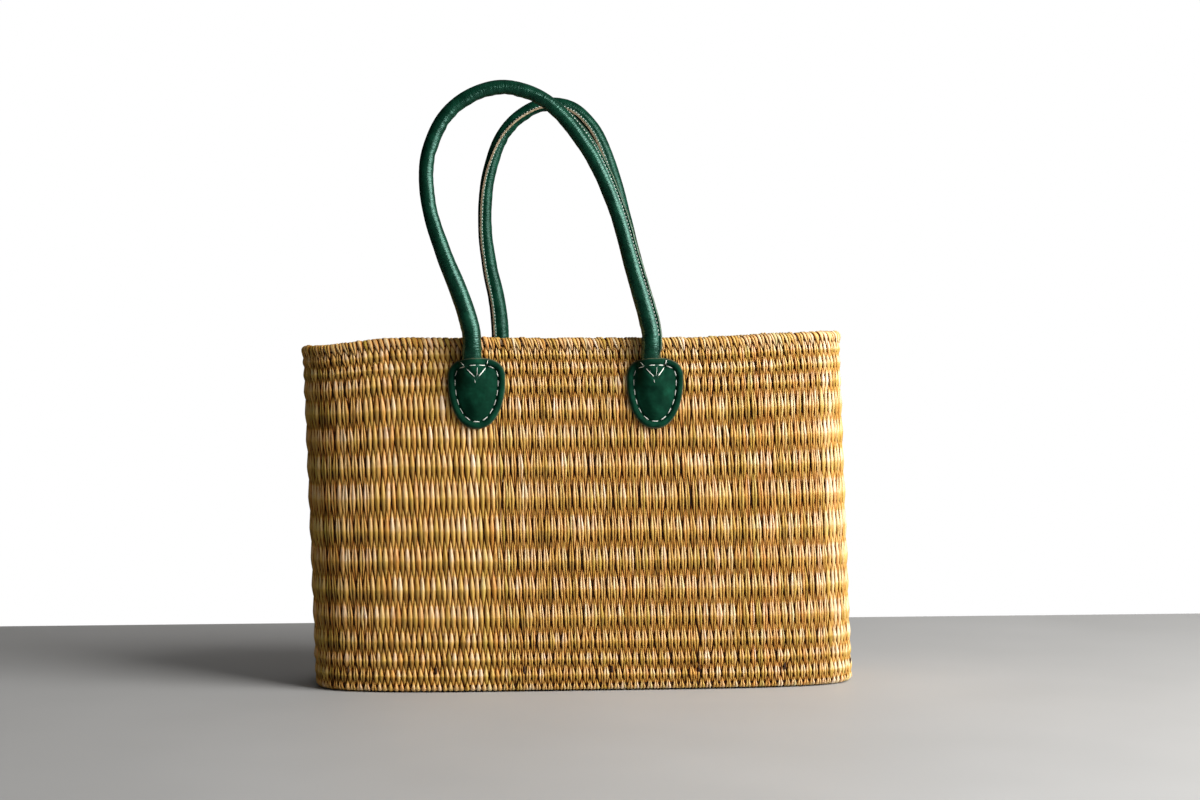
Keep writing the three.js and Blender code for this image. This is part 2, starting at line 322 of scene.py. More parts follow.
def add_range(tree, value, low, high, start=0.0, end=1.0):
    """A number between start and end carried over to between low and high."""
    inputs = {"Value": value, "From Min": start, "From Max": end, "To Min": low, "To Max": high}
    return add_node(tree, "MapRange", inputs).outputs[0]


def own_value(tree, name, output="Fac"):
    return add_node(tree, "Attribute", attribute_name=name).outputs[output]


def stretched(tree, place, scale):
    return add_node(tree, "Mapping", {"Vector": place, "Scale": scale}).outputs[0]


def rush_finish():
    """Dry rush: straw gold with olive, rust and cream strands, fine fibres, and painted shade deep down."""
    material, tree, shader = new_finish("woven_rush")
    lay = own_value(tree, "lay", "Vector")
    fibres = add_noise(tree, stretched(tree, lay, (1.6, 1.6, 0.05)), 1.0, 3.0)
    patches = add_noise(tree, stretched(tree, lay, (0.25, 0.25, 0.09)), 1.0)
    relief = own_value(tree, "relief")
    colour = add_ramp(tree, own_value(tree, "tone"), [
        (0.0, (0.300, 0.172, 0.034)),
        (0.2, (0.468, 0.272, 0.054)),
        (0.42, (0.600, 0.365, 0.100)),
        (0.66, (0.682, 0.456, 0.205)),
        (0.86, (0.725, 0.548, 0.350)),
        (1.0, (0.770, 0.635, 0.475)),
    ])
    hue = add_ramp(tree, own_value(tree, "hue"), [
        (0.0, (0.82, 0.93, 0.68)),
        (0.3, (0.97, 1.0, 0.87)),
        (0.55, (1.0, 1.0, 1.0)),
        (0.8, (1.05, 0.96, 0.88)),
        (1.0, (1.06, 0.87, 0.72)),
    ])
    stain = add_ramp(tree, patches, [
        (0.32, (0.72, 0.62, 0.50)),
        (0.47, (1.0, 1.0, 1.0)),
        (0.62, (1.0, 1.0, 1.0)),
        (0.75, (1.0, 0.86, 0.72)),
    ])
    streak = add_ramp(tree, fibres, [
        (0.30, (0.60, 0.48, 0.33)),
        (0.47, (0.97, 0.95, 0.90)),
        (0.56, (1.02, 1.05, 1.10)),
        (0.67, (1.04, 1.15, 1.44)),
    ])
    # Painted shade: darker where the relief is small, deep in the weave and on a strand's sides.
    deep = add_ramp(tree, relief, [
        (0.10, (0.085, 0.012, 0.001)),
        (0.32, (0.73, 0.40, 0.12)),
        (0.48, (0.99, 0.92, 0.82)),
        (0.7, (1.0, 1.0, 1.0)),
    ])
    for layer in (hue, stain, streak, deep):
        colour = add_mix(tree, 1.0, colour, layer, "MULTIPLY")
    rough = add_range(tree, fibres, 0.38, 0.54)
    dull = add_range(tree, relief, 0.5, 0.0, 0.2, 0.55)
    feed(tree, shader, {
        "Base Color": colour,
        "Roughness": add_math(tree, "ADD", rough, dull),
        "Normal": add_bump(tree, fibres, 0.5, 0.0004),
        "Specular IOR Level": 0.24,
    })
    return material


rush = rush_finish()
chance = np.random.default_rng(seed)


def strand_layout():
    """Where strands stand round the wall, and which are pairs of thin rushes."""
    ways, paired, pair = [], [], False
    way = 0.0
    while way < round_way:
        x, y = on_plan(way, plan_x), on_plan(way, plan_y)
        side = "back" if y > -bag_depth / 4 else ("left" if x < pairs_start else "right")
        if chance.random() < pair_change:
            pair = chance.random() < pair_shares[side]
        ways.append(way)
        paired.append(pair)
        way += (pair_step if pair else single_step) * chance.normal(1, step_spread)
    even = len(ways) - len(ways) % 2
    return np.array(ways[:even]) * round_way / ways[even - 1] * (1 - 1 / even), np.array(paired[:even])


strand_way, strand_paired = strand_layout()
strand_count = len(strand_way)
strand_gap = np.mod(np.roll(strand_way, -1) - np.roll(strand_way, 1), round_way) / 2


def tie_ways():
    """The way round the wall of each tie, at an even spacing from the front's first one."""
    front = (plan_y < 0) & (np.abs(plan_x) < bag_length / 2 - round_end)
    first = np.interp(tie_first, plan_x[front], plan_way[front])
    count = round(round_way / tie_spacing)
    return first + np.arange(count) * round_way / count


def pulled_in(way, height):
    """How far the ties pull the strands into the wall beside them."""
    aside = np.mod(way[..., None] - tie_ways() + round_way / 2, round_way) - round_way / 2
    near = np.exp(-((aside / pull_length) ** 2)).sum(axis=-1)
    return tie_pull * near * np.exp(-(((height - tie_height) / pull_height) ** 2))


def float_shape(share, outside, relief, taper):
    """How far out a strand stands along one course, and its half width as a share of its step.

    Outside it is a pointed spindle. Its tips reach on past the course, between the next floats."""
    wave = np.sin(math.pi * share)
    tip = np.abs(2 * share - 1)
    edge = bottom_out + (top_out - bottom_out) * np.where(outside > 0, share, 1 - share)
    bulge = relief - (relief - edge) * tip ** float_bulge
    hollow = edge - (relief + edge) * wave ** 2
    spindle = float_width - (float_width - crossing_width) * tip ** taper
    width = np.where(outside > 0, spindle, np.interp(share, inner_places, inner_widths))
    return np.where(outside > 0, bulge, hollow), width


def split_pairs(paired):
    """One row for each rush: its strand, and its place and share of the strand's width."""
    rows = []
    for strand, pair in enumerate(paired):
        if not pair:
            rows.append((strand, 0.0, 1.0))
            continue
        share = chance.normal(0.5, share_spread)
        rows.append((strand, share - 1, share))
        rows.append((strand, share, 1 - share))
    rows = np.array(rows)
    return rows[:, 0].astype(int), rows[:, 1], rows[:, 2]


def painted_right_light(way):
    """Painted window light: the rush is painted paler toward the right end, most of all round its corner."""
    share = np.interp(np.mod(way, round_way), plan_way, plan_x) / (bag_length / 2)
    return end_painted_right_light * share + corner_painted_right_light * np.clip(share, 0, 1) ** 4


def varied(middle, spread, *shape):
    return chance.normal(middle, spread, shape)


def upright_strands():
    """Paths, sizes and looks of all rushes from the foot to the rim."""
    strand, place, share = split_pairs(strand_paired)
    lines = np.append(course_lines, strand_top)
    rises = np.diff(lines)
    stations = []
    for course, rise in enumerate(rises[:-1]):
        stations += [(course, step) for step in (tall_stations if rise > tall_course else low_stations)]
    stations += [(len(rises) - 2, 1.0), (len(rises) - 1, 1.0)]
    course = np.array([k for k, _ in stations])
    step = np.array([t for _, t in stations])
    outside = np.where((np.arange(strand_count)[:, None] + course) % 2 == 0, 1.0, -1.0)
    count, courses = strand_count, len(lines)
    drift = varied(0, drift_spread, count, courses + 1)
    phase = strand_way[:, None] / line_wave_length + np.arange(courses + 1) * 2.1
    line_shift = line_wave_height * np.sin(phase) + varied(0, line_spread, count, courses + 1)
    plump = varied(1, plump_spread, count, courses)
    wander = varied(0, wander_spread, count, courses)
    stand = varied(0, stand_spread, count, courses)
    ease = step * step * (3 - 2 * step)
    middle = np.sin(math.pi * step)
    sideways = drift[:, course] * (1 - ease) + drift[:, course + 1] * ease + wander[:, course] * middle
    shift = line_shift[:, course] * (1 - ease) + line_shift[:, course + 1] * ease
    height = lines[course] + step * rises[course] + shift
    way = strand_way[:, None] + sideways - top_lean * smoothstep(height, lean_start, lean_end)
    taper = np.where(rises[course] > spindle_course, spindle_taper, diamond_taper)
    out, width = float_shape(step, outside, float_relief + stand[:, course], taper)
    out = out - pulled_in(way, height) * (outside > 0)
    half = strand_gap[:, None] * crowding(way, out) * width * (1 + (plump[:, course] - 1) * middle)
    half[:, -1] *= tip_width
    fullness = float_half_depth * plump[:, course] ** 0.5 - crossing_half_depth
    depth = crossing_half_depth + fullness * middle
    tone = varied(mean_tone, strand_tone, count, 1) + varied(0, float_tone, count, courses)
    # Painted light from above: the upper half of each float paler, the lower half darker as painted shade.
    tone = np.clip(tone, 0, 1)[:, course] + painted_top_light * np.tanh((step - 0.50) / 0.05)
    # The right end gets painted window light.
    tone = tone + painted_right_light(strand_way)[:, None] - low_row_tone * (lines[course + 1] < low_rows)
    return strand, place, share, way, out, height, half, depth, tone, outside


def turned_foot(way, outside):
    """The stations below the lowest crossing, where the strands turn in under the base."""
    lower = np.array([  # out and up: outside strands, then inside ones, then how full they are
        [-foot_reach, foot_height, -foot_reach + 4, foot_height + 2.0, 0.75],
        [-13.0, foot_height, -10.0, foot_height + 2.0, 0.8],
        [-6.0, foot_height, -5.5, foot_height + 2.1, 0.85],
        [-1.6, foot_height + 0.1, -3.2, foot_height + 2.6, 0.95],
        [0.7, 1.9, -2.2, 4.0, 1.0],
        [1.75, 3.6, -1.7, 5.1, 0.78],
        [1.35, 5.3, -0.9, 6.0, 0.36],
    ])
    below = outside[:, :1] < 0  # the parity below the lowest crossing is the other one
    foot_out = np.where(below, lower[:, 0], lower[:, 2])
    foot_up = np.where(below, lower[:, 1], lower[:, 3])
    first = way[:, :1] + np.zeros(len(lower))
    foot_half = strand_gap[:, None] * crowding(first, foot_out) * (0.34 + 0.62 * lower[:, 4])
    foot_depth = np.where(below, foot_height - 0.15, 1.0) + np.zeros((len(way), len(lower)))
    foot_depth[:, -3:] += np.array([0.05, 0.3, 0.6])
    return first, foot_out, foot_up, foot_half, foot_depth


def rush_tubes(strand, place, share, way, out, height, half, depth):
    """Tubes for the rushes of strands that follow the wall: where they stand, points and lay."""
    aside = way[strand] + place[:, None] * half[strand]
    path = on_wall(aside, out[strand], height[strand])
    width = half[strand] * share[:, None]
    points, lay = soft_tubes(path, along_wall(aside), width, depth, strand_sides, strand_ridge)
    lay[..., 2] += chance.uniform(0, longest_rush, len(strand))[:, None, None]
    return aside, points, lay


def weave_wall():
    """Where each rush stands, its points, and its lay, relief, tone and hue."""
    strand, place, share, way, out, height, half, depth, tone, outside = upright_strands()
    foot = turned_foot(way, outside)
    way, out, height, half, depth = (
        np.concatenate([low, high], axis=1) for low, high in zip(foot, (way, out, height, half, depth)))
    tone = np.concatenate([np.repeat(tone[:, :1] + foot_tone, foot[0].shape[1], axis=1), tone], axis=1)
    hue = np.clip(varied(mean_hue, hue_spread, len(strand)), 0, 1)
    half_depth = depth[strand] * (1 - thin_depth * (share < 1))[:, None]
    aside, points, lay = rush_tubes(strand, place, share, way, out, height, half, half_depth)
    turn = full_turn(strand_sides)
    # The relief sets the painted shade: small deep in the weave, smaller still at a strand's sides.
    relief = np.abs(out[strand][..., None] - half_depth[..., None] * np.sin(turn)) / (wall_thickness / 2)
    under = (height[strand] < foot_shown)[..., None]
    shade = np.where(share < 1, pair_edge_shade, edge_shade)[:, None, None]
    relief = np.where(under, foot_relief, relief) - shade * np.abs(np.cos(turn)) ** 1.5
    tone = np.clip(tone[strand] + varied(0, rush_tone, len(strand), 1), 0, palest_tone)
    return aside[:, cut_station], points, lay, relief, tone, hue


def add_rush_pieces(name, cuts, nodes, where, points, lay, relief, tone, hue):
    """Tubes of rush as one piece for each stretch of the way round."""
    for number, (low, high) in enumerate(cuts):
        chosen = (np.mod(where, round_way) >= low) & (np.mod(where, round_way) < high)
        shape = points[chosen].shape[:3]
        label = name if len(cuts) == 1 else f"{name}_{number + 1}"
        mesh = make_mesh(label, points[chosen], tube_faces(*shape))
        strips = strip_map(*shape).astype(np.float32)
        mesh.uv_layers.new(name="OFBake").uv.foreach_set("vector", strips.ravel())
        spread = np.ones(shape)
        give_values(mesh, "lay", lay[chosen])
        give_values(mesh, "relief", relief[chosen] * spread)
        give_values(mesh, "tone", tone[chosen][..., None] * spread)
        give_values(mesh, "hue", hue[chosen][:, None, None] * spread)
        piece = add_piece(label, mesh, rush)
        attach(piece, "basket")
        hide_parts(*nodes)


panel_cuts = [(k * round_way / panel_count, (k + 1) * round_way / panel_count) for k in range(panel_count)]
add_rush_pieces("woven_panel", panel_cuts, ["woven_wall"], *weave_wall())

# Level cords
# Cords of rush lie level inside the weave, one to a course, between the strands that pass outside
# and those that pass inside. Their outer side is painted dark as the shade in the gaps, where they
# show as dark lines, and they are paler inside the bag.

cord_half_depth = 0.42
cord_share = 0.5  # half height of a cord as a share of its course
lowest_cord, highest_cord = 2.5, bag_height - 4
cord_stations, cord_sides = 480, 8


def painted_shade_cord_finish():
    """Rush cord with painted shade: dark brown facing out into the weave, paler facing the inside."""
    material, tree, shader = new_finish("painted_shade_cord")
    grain = add_noise(tree, add_node(tree, "TexCoord").outputs["Object"], 420.0, 3.0)
    # painted shade: the dark colour on the outer side, the pale one on the inner side
    dark = add_ramp(tree, grain, [(0.3, (0.030, 0.011, 0.003)), (0.7, (0.100, 0.046, 0.015))])
    pale = add_ramp(tree, grain, [(0.3, (0.22, 0.13, 0.050)), (0.7, (0.46, 0.31, 0.14))])
    feed(tree, shader, {
        "Base Color": add_mix(tree, own_value(tree, "inside"), dark, pale),
        "Roughness": 0.85,
        "Normal": add_bump(tree, grain, 0.6, 0.0004),
    })
    return material


def add_level_cords():
    lines = np.concatenate([[lowest_cord], course_lines, [highest_cord]])
    way = np.linspace(0, round_way, cord_stations + 1)[:-1]
    turn = full_turn(cord_sides, 0.5)
    middles = (lines[:-1] + lines[1:]) / 2
    halves = np.diff(lines) * cord_share
    height = middles[:, None, None] + halves[:, None, None] * np.sin(turn)
    points = on_wall(way[:, None], cord_half_depth * np.cos(turn), height)
    shape = points.shape[:3]
    mesh = make_mesh("level_cords", points, tube_faces(*shape, closed=True, order=(0, 3, 2, 1)))
    give_values(mesh, "inside", np.broadcast_to(np.cos(turn) < 0, shape).astype(float))
    piece = add_piece("level_cords", mesh, painted_shade_cord)
    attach(piece, "basket")


painted_shade_cord = painted_shade_cord_finish()
add_level_cords()

# Turned rim
# At the top the strand ends are bent over a reed hoop, slanted forward, and tucked in again, so the
# rim shows a row of short slanting ends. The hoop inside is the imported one.

rim_middle = 278.8
rim_radius = 3.2
rim_half_depth = 1.1
rim_slant = 3.2  # how far a strand moves along the wall on its way down the outside
rim_turns = np.radians([-165, -150, -125, -98, -70, -42, -14, 14, 42, 70, 95, 118, 138, 152, 162])
rim_fullness = np.array([0.2, 0.45, 0.8, 1, 1, 1, 1, 1, 1, 1, 0.92, 0.76, 0.56, 0.34, 0.06])
rim_drop = np.array([2.0, 1.3, 0.5, 0.1, 0, 0, 0, 0, 0, 0, 0.2, 0.6, 1.4, 2.4, 3.6])
rim_out = np.array([0.6, 0.75, 0.92, 1, 1, 1, 1, 1, 1, 1, 0.97, 1.0, 1.2, 1.45, 1.5])
# painted shade of the rim: a set relief, made darker toward the sides of each strand
rim_relief, rim_edge_shade = 0.74, 0.62
rim_tone, rim_tone_spread, rim_palest, rim_hue = 0.56, 0.18, 0.97, 0.44
rim_start_spread, rim_radius_spread, rim_level_spread, rim_slant_spread = 0.2, 0.18, 0.25, 0.5
rim_drop_spread, rim_width, rim_width_spread = 0.08, 0.95, 0.06


def weave_rim():
    """Strands that turn over the hoop, one for every two of the wall's."""
    strand, place, share = split_pairs(strand_paired[::2])
    gap = strand_gap[::2] + strand_gap[1::2]
    count = len(gap)
    start = strand_way[::2] - top_lean + varied(0, rim_start_spread, count)
    radius = rim_radius + varied(0, rim_radius_spread, count, 1)
    out = radius * np.sin(rim_turns) * rim_out
    level = rim_middle + varied(0, rim_level_spread, count, 1)
    height = level + radius * np.cos(rim_turns) - rim_drop * varied(1, rim_drop_spread, count, 1)
    slant = rim_slant + varied(0, rim_slant_spread, count, 1)
    way = start[:, None] + slant * (rim_turns - rim_turns[-1]) / rim_turns[-1]
    half = gap[:, None] / 2 * crowding(way, out) * rim_fullness
    half = half * varied(rim_width, rim_width_spread, count, 1)
    thick = rim_half_depth * (1 - 0.1 * (share < 1))[:, None] * (0.55 + 0.45 * rim_fullness)
    _, points, lay = rush_tubes(strand, place, share, way, out, height, half, thick)
    # Painted shade: the relief falls toward each strand's sides, which darkens them.
    sides = np.abs(np.cos(full_turn(strand_sides)))
    relief = np.ones((len(strand), len(rim_turns), 1)) * (rim_relief - rim_edge_shade * sides ** 2)
    # The rim also gets the painted window light toward the right end.
    tone = varied(rim_tone, rim_tone_spread, len(strand), 1) + painted_right_light(start[strand])[:, None]
    tone = np.clip(tone, 0, rim_palest) * np.ones(len(rim_turns))
    hue = np.clip(varied(rim_hue, hue_spread, len(strand)), 0, 1)
    return start[strand], points, lay, relief, tone, hue


def grain_finish(name, scale, detail, dark, pale, roughness, bump=None):
    """A plain material mottled between two colours by a fine grain, which may stand out a little."""
    material, tree, shader = new_finish(name)
    grain = add_noise(tree, add_node(tree, "TexCoord").outputs["Object"], scale, detail)
    colour = add_ramp(tree, grain, [(0.3, dark), (0.7, pale)])
    feed(tree, shader, {"Base Color": colour, "Roughness": roughness})
    if bump:
        feed(tree, shader, {"Normal": add_bump(tree, grain, *bump)})
    return material


rim_cuts = [(0, round_way / 2), (round_way / 2, round_way)]
add_rush_pieces("turned_rim", rim_cuts, ["turned_rim"], *weave_rim())
reed = grain_finish("reed", 260.0, 4.0, (0.20, 0.12, 0.055), (0.42, 0.29, 0.15), 0.7, (0.4, 0.0003))
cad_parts["rim_hoop"].data.materials.clear()
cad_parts["rim_hoop"].data.materials.append(reed)

# Floor panel
# The bottom is a flat panel of the same weave, laid in on the turned-in strands and sewn round its
# edge. Its strands run lengthwise and its courses across.

floor_low, floor_high = (np.array(corner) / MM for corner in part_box("base_panel"))
floor_course = 21.5
floor_step = 2.6
floor_relief = 1.05
floor_half_depth = 1.35
floor_margin, front_edge, back_edge = 0.4, 1.5, 1.2
floor_pairs = 0.6
floor_stations = 131
floor_tone, floor_tone_spread, floor_wander = 0.5, 0.2, 0.12
edge_fade = 6  # the weave gets flat over this length at the ends


def weave_floor():
    middle = (floor_low + floor_high) / 2
    half_size = (floor_high - floor_low) / 2 - floor_margin
    rows = np.arange(-half_size[1] + front_edge, half_size[1] - back_edge, floor_step)
    reach = half_size[0] * (1 - np.abs(rows / half_size[1]) ** plan_power) ** (1 / plan_power)
    strand, place, share = split_pairs(chance.random(len(rows)) < floor_pairs)
    x = reach[:, None] * np.linspace(-1, 1, floor_stations)
    course, step = np.divmod(x / floor_course + 100, 1)
    side = np.where((course + np.arange(len(rows))[:, None]) % 2 == 0, 1.0, -1.0)
    wave = np.sin(math.pi * step)
    fade = np.clip((reach[:, None] - np.abs(x)) / edge_fade, 0, 1)
    height = middle[2] + floor_relief * side * wave ** 0.9 * fade
    half = floor_step * (0.5 + 0.45 * wave)
    y = rows[:, None] + varied(0, floor_wander, len(rows), 1)
    path = np.stack([x[strand], y[strand] + place[:, None] * half[strand], height[strand]], axis=-1)
    path[..., 0] += middle[0]
    across = np.broadcast_to(np.array([0.0, 1.0, 0.0]), path.shape)
    thick = np.broadcast_to(floor_half_depth * (1 - 0.15 * (share < 1))[:, None], path.shape[:2])
    points, lay = soft_tubes(path, across, half[strand] * share[:, None], thick, strand_sides)
    lay[..., 2] += chance.uniform(0, longest_rush, len(strand))[:, None, None]
    # Painted shade: the floor panel's rushes are darker where they lie deep in its weave.
    relief = np.abs(points[..., 2] - middle[2]) / (floor_relief + floor_half_depth)
    tone = np.clip(varied(floor_tone, floor_tone_spread, len(strand), 1), 0, 1) * np.ones(floor_stations)
    hue = np.clip(varied(mean_hue, hue_spread, len(strand)), 0, 1)
    return np.zeros(len(strand)), points, lay, relief, tone, hue


add_rush_pieces("floor_panel", [(0, round_way)], ["base_panel"], *weave_floor())

# Base hoop and its ties
# A round reed follows the foot of the wall inside. Twisted cord ties hold it there, through the
# weave, at an even spacing all the way round, and draw the strands in a little beside them. The
# ties are dark with the cords' painted shade.

hoop_low, hoop_high = (np.array(corner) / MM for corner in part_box("base_hoop"))
hoop_radius = (hoop_high[2] - hoop_low[2]) / 2
hoop_height = (hoop_high[2] + hoop_low[2]) / 2
hoop_gap = 0.3
hoop_out = -wall_thickness / 2 - hoop_gap - hoop_radius
hoop_stations, hoop_sides = 360, 14
tie_outline = np.array([  # a loop round the hoop and through the wall, out and up
    [2.0, 15.0], [2.3, 16.9], [2.0, 18.8], [0.9, 20.2], [-2, 19.8], [-7, 17.6],
    [-11.6, 16.2], [-13.6, 12.6], [-11.8, 9.2], [-7.0, 9.2], [-2.0, 11.8], [0.9, 13.6],
])
tie_stations, tie_sides = 60, 7
tie_twists = 9
ply_radius, ply_offset = 0.54, 0.42
tie_lean = 0.9


def add_base_hoop():
    way = np.linspace(0, round_way, hoop_stations + 1)[:-1, None]
    turn = full_turn(hoop_sides)
    rings = on_wall(way, hoop_out + hoop_radius * np.cos(turn), hoop_height + hoop_radius * np.sin(turn))
    faces = tube_faces(1, hoop_stations, hoop_sides, closed=True, order=(0, 3, 2, 1))
    piece = add_piece("base_hoop_reed", make_mesh("base_hoop_reed", rings, faces), reed)
    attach(piece, "basket")
    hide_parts("base_hoop")


def add_ties():
    """Each tie is a small closed loop of two-ply cord round the hoop and through the wall."""
    knots = len(tie_outline)
    places = np.linspace(knots, 2 * knots, tie_stations + 1)[:-1]
    out, height = (np.interp(places, np.arange(3 * knots), np.tile(line, 3)) for line in tie_outline.T)
    for _ in range(3):
        out = (np.roll(out, 1) + out + np.roll(out, -1)) / 3
        height = (np.roll(height, 1) + height + np.roll(height, -1)) / 3
    phase = full_turn(tie_stations)
    lean = tie_lean * np.sin(phase + 0.8)
    plies = []
    for way in tie_ways():
        for ply in (0, math.pi):
            twist = tie_twists * phase + ply
            aside = way + lean + ply_offset * np.cos(twist)
            plies.append(on_wall(aside, out + ply_offset * np.sin(twist), height))
    path = np.stack(plies)
    closed = np.concatenate([path[:, -1:], path, path[:, :1]], axis=1)
    across = np.broadcast_to(along_wall(np.repeat(tie_ways(), 2))[:, None], closed.shape)
    size = np.full(closed.shape[:2], ply_radius)
    points = soft_tubes(closed, across, size, size, tie_sides)[0][:, 1:-1]
    mesh = make_mesh("hoop_ties", points, tube_faces(*points.shape[:3], closed=True))
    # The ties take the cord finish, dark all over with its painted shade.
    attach(add_piece("hoop_ties", mesh, painted_shade_cord), "basket")


add_base_hoop()
add_ties()

# Handles
# Goatskin dyed green is rolled round a hemp rope and sewn along one seam, whose raw edges stand out
# as a narrow fin. The legs are thicker than the loop. Each end is flattened and sewn to the wall.

hinge_height, hinge_out = 286.2, 92.0
leg_radius, loop_radius = 7.5, 5.9
swelling_fade = 105
loop_samples, leg_samples = 900, 60
line_smoothing, size_smoothing, seam_smoothing = 100, 20, 40
leg_y, seat_y = 83.7, 75.3
rim_proud = 0.9
tab_top = 266.7
foot_tuck = 24
foot_marks = [-foot_tuck, -foot_tuck / 2, 2.5, 10]  # over the tab's top, where the end gets flat
foot_widths = [8.4, 8.4, 7.9, 7.5]
foot_depths = [2.8, 5.15, 6.5, 7.5]
fin_height, fin_half_width = 2.4, 0.85
fin_side = [  # one side of the fin: aside in half widths and up in heights
    [-1.5, 0.0], [-1.1, 0.24], [-0.9, 0.42], [-1.0, 0.62],
    [-1.0, 0.88], [-0.7, 1.0], [-0.2, 0.98], [0.0, 0.9],
]
fin_foot, fin_gap = 1.25, 1.35  # half widths of the fin's foot and of the tube's gap for it
fin_bend = 1.3
raw_edge, raw_fade = 0.87, 0.1  # up the fin, where its raw edge begins to show
tube_sides = 30
rope_inset = 2.0
rope_sides = 24
rope_groove, rope_pitch = 0.09, 5.5
stitch_step = 2.9
stitch_length = 1.6
stitch_radius = 0.22
stitch_level = 0.24  # up the fin, as a share of its height
seam_ends = 40
handle_shapes = {
    "front": {
        "side": -1, "centre": -19.5, "spacing": 143,
        "route": [
            [-79, 25], [-95, 66], [-106, 104], [-106, 142], [-88, 177], [-52, 195], [-15, 186],
            [19, 149], [42, 102], [57, 52], [67, 18],
        ],
        "seam": [(0, 112), (0.35, 100), (0.50, 90), (0.58, 30), (0.66, -22), (0.80, -38), (1, -40)],
        "fin_lean": 0.9, "raw_edge_tan": 0.2,
    },
    "back": {
        "side": 1, "centre": 6.5, "spacing": 133,
        "route": [
            [-69, 26], [-76, 60], [-80, 98], [-76, 140], [-61, 177], [-33, 198], [-6, 197],
            [14, 179], [30, 143], [42, 100], [52, 58], [62, 22],
        ],
        "seam": [(0, 54), (0.22, 54), (0.34, 68), (0.46, 104), (0.55, 114), (0.75, 112), (1, 100)],
        "fin_lean": 0.3, "raw_edge_tan": 1,
    },
}


def way_along(line):
    return np.concatenate([[0], np.cumsum(np.linalg.norm(np.diff(line, axis=0), axis=1))])


def smooth_route(knots, samples):
    """A centripetal curve through the knots, at even distances."""
    knots = np.array(knots, float)
    points = np.concatenate([[2 * knots[0] - knots[1]], knots, [2 * knots[-1] - knots[-2]]])
    pieces = []
    share = np.linspace(0, 1, 60, endpoint=False)[:, None]
    for a, b, c, d in zip(points[:-3], points[1:-2], points[2:-1], points[3:]):
        before, here, after = (np.linalg.norm(q - p) ** 0.5 for p, q in ((a, b), (b, c), (c, d)))
        leave = ((b - a) / before - (c - a) / (before + here) + (c - b) / here) * here
        arrive = ((c - b) / here - (d - b) / (here + after) + (d - c) / after) * here
        pieces.append(
            b + leave * share + (3 * (c - b) - 2 * leave - arrive) * share ** 2
            + (2 * (b - c) + leave + arrive) * share ** 3)
    line = np.concatenate([*pieces, knots[-1:]])
    way = way_along(line)
    even = np.linspace(0, way[-1], samples)
    return np.stack([np.interp(even, way, line[:, k]) for k in range(line.shape[1])], axis=1)


def handle_line(shape):
    """Middle line of a whole handle from foot to foot, with its half sizes in both directions."""
    side, centre, half = shape["side"], shape["centre"], shape["spacing"] / 2
    loop = smooth_route([[-half, 0], *shape["route"], [half, 0]], loop_samples)
    climb = smoothstep(loop[:, 1], 0, swelling_fade)
    radius = leg_radius - (leg_radius - loop_radius) * climb
    above = np.linspace(-foot_tuck, hinge_height - tab_top, leg_samples)[:-1]
    wide = np.interp(above, foot_marks, foot_widths)
    thick = np.interp(above, foot_marks, foot_depths)
    lift = np.interp(above, [-1, 5], [0, rim_proud])
    foot_y = side * (seat_y + thick + lift)
    legs = []
    for leg in (-half, half):
        x = np.full(len(above), centre + leg)
        legs.append(np.stack([x, foot_y, tab_top + above], axis=1))
    y = np.full(len(loop), side * leg_y)
    middle = np.stack([loop[:, 0] + centre, y, loop[:, 1] + hinge_height], axis=1)
    line = np.concatenate([legs[0], middle, legs[1][::-1]])
    return line, *(np.concatenate([size, radius, size[::-1]]) for size in (wide, thick))


def smoothed(values, times):
    for _ in range(times):
        inner = (values[:-2] + values[1:-1] + values[2:]) / 3
        values = np.concatenate([values[:1], inner, values[-1:]])
    return values


def handle_frame(shape):
    """Line, directions, sizes, way and seam angle at each station of a handle."""
    line, wide, thick = handle_line(shape)
    line = smoothed(line, line_smoothing)
    wide, thick = smoothed(wide, size_smoothing), smoothed(thick, size_smoothing)
    along = unit(np.gradient(line, axis=0))
    inward = np.broadcast_to(np.array([0.0, -shape["side"], 0.0]), line.shape)
    outward = unit(np.cross(along, inward) * -shape["side"])
    inward = unit(inward - along * np.sum(inward * along, axis=1, keepdims=True))
    way = way_along(line)
    share, angle = zip(*shape["seam"])
    seam = np.radians(smoothed(np.interp(way / way[-1], share, angle), seam_smoothing))
    return line, along, outward, inward, wide, thick, way, seam


def round_line(line, outward, inward, across, deep, turn):
    """Points round the line of a handle, at turns from its outer side."""
    aside = outward[:, None] * (across * np.cos(turn))[..., None]
    return line[:, None] + aside + inward[:, None] * (deep * np.sin(turn))[..., None]


def crease_depth(way, turn, outward_bend, phase):
    """Small folds of the leather: across the inner side of bends, and wrinkles all round."""
    way = way[:, None]
    inner = np.clip(-np.cos(turn) * outward_bend[:, None] * 60, 0, 1)
    fold = 0.5 + 0.5 * np.sin(way / 1.35 + 1.3 * np.sin(way / 9) + turn)
    wave = 0.5 + 0.5 * np.sin(way / 2.9 + 2 * np.sin(way / 17))
    slow = way + 3.5 * np.sin(turn + phase) + 2 * np.sin(2 * turn + way / 31)
    patch = 0.5 + 0.5 * np.sin(way / 13.7 + 2.2 * np.sin(turn + way / 23))
    wrinkle = np.abs(np.sin(slow / 1.9 + 1.7 * np.sin(slow / 7.3))) ** 0.5 * patch
    lumps = np.sin(way / 7.3 + phase + 2 * turn) * np.sin(way / 11.9 + turn)
    return -inner * (0.25 * fold + 0.42 * wave) + 0.12 * lumps + 0.13 * wrinkle


def bend_piece(piece):
    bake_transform(piece)


